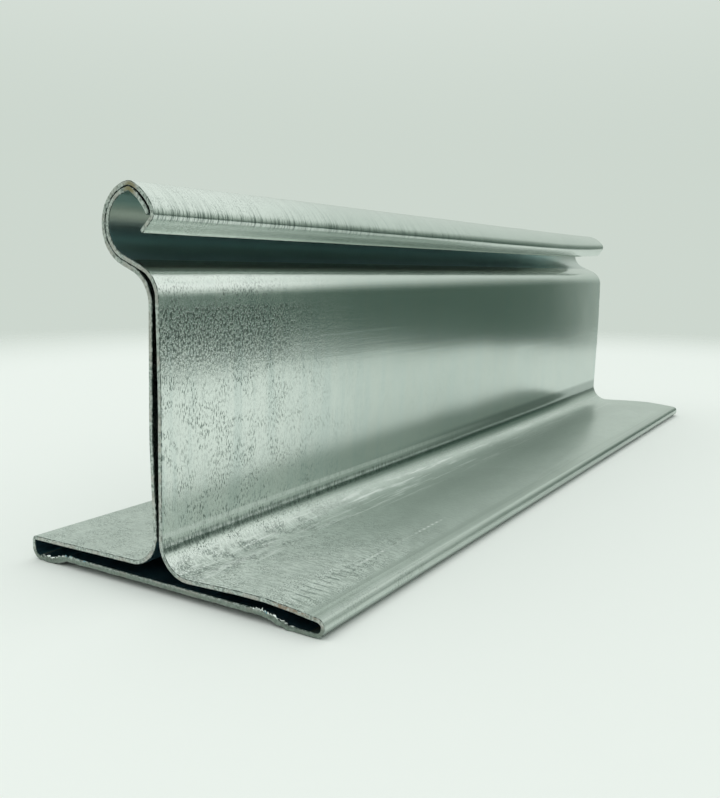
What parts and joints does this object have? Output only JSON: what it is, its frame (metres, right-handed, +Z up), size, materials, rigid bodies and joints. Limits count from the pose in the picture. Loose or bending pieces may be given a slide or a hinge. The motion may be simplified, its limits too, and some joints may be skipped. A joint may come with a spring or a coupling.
{
  "type": "metal t-bar",
  "caption": "Roll-formed galvanised steel T section with a hollow flat foot, a folded sheet web and an open hooked curl along its top edge.",
  "frame": {"origin": "middle of the bar's length and of its flange's width, at the level the feet rest on", "axes": "+Z up along the web, +Y along the bar toward its far end, +X toward the open side of the curl"},
  "size_m": [0.0542, 0.2, 0.056],
  "materials": {
    "galvanised_steel": "galvanised, satin, fine grain"
  },
  "bodies": {
    "root": {"t_bar": "galvanised_steel"}
  },
  "joints": []
}
